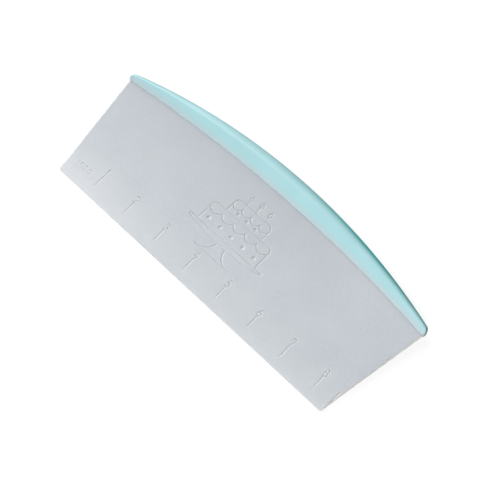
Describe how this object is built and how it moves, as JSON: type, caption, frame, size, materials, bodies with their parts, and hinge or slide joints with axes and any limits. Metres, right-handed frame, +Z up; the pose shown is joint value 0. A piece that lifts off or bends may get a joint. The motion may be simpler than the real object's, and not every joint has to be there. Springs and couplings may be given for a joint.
{
  "type": "cake scraper",
  "caption": "Flat cake scraper: a thin plastic blade with an inch rule and a bevelled scraping edge, and a crescent grip moulded over its curved back edge.",
  "frame": {"origin": "middle of the part's footprint, on the surface that it lies on", "axes": "+X along the scraping edge in the direction the rule counts, +Y from the scraping edge to the grip, +Z up, out of the front face, which leans 3.4 degrees because the grip's back is thicker than the blade"},
  "size_m": [0.238, 0.0916, 0.0121],
  "materials": {
    "blade_plastic": "matt grey moulded plastic, faintly clouded",
    "grip_plastic": "satin mint green moulded plastic"
  },
  "bodies": {
    "root": {"blade": "blade_plastic", "grip": "grip_plastic"}
  },
  "joints": []
}
